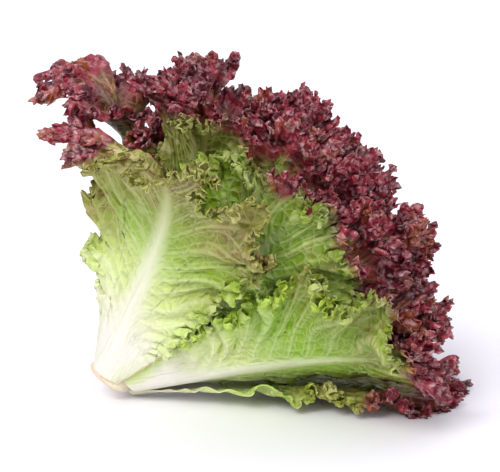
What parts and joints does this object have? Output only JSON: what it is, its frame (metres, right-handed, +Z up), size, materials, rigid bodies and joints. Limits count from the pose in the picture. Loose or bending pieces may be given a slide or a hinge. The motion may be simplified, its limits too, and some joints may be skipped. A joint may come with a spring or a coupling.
{
  "type": "lollo rosso lettuce",
  "caption": "Whole cut head of frilled red and green salad leaves round a short pale stem, lying on its side with its rim opening up and sideways.",
  "frame": {"origin": "centre of the bounding box on the table, so the head lies on z = 0", "axes": "+Z up from the table; +X from the cut end of the stem towards the side that the head opens to; +Y across the head, its longest extent. The stem's axis is parallel to the XZ plane, at y = -10.7 mm, and rises 45.5 degrees above the table."},
  "size_m": [0.2158, 0.2567, 0.1716],
  "materials": {
    "leaf": null,
    "stem": null
  },
  "bodies": {
    "root": {"stem": "stem", "leaf_01": "leaf", "leaf_02": "leaf", "leaf_03": "leaf", "leaf_04": "leaf", "leaf_05": "leaf", "leaf_06": "leaf", "leaf_07": "leaf", "leaf_08": "leaf", "leaf_09": "leaf", "leaf_10": "leaf", "leaf_11": "leaf", "leaf_12": "leaf", "leaf_13": "leaf", "leaf_14": "leaf", "leaf_15": "leaf", "leaf_16": "leaf", "leaf_17": "leaf", "leaf_18": "leaf", "leaf_19": "leaf", "leaf_20": "leaf", "leaf_21": "leaf", "leaf_22": "leaf", "leaf_23": "leaf", "leaf_24": "leaf"}
  },
  "joints": []
}
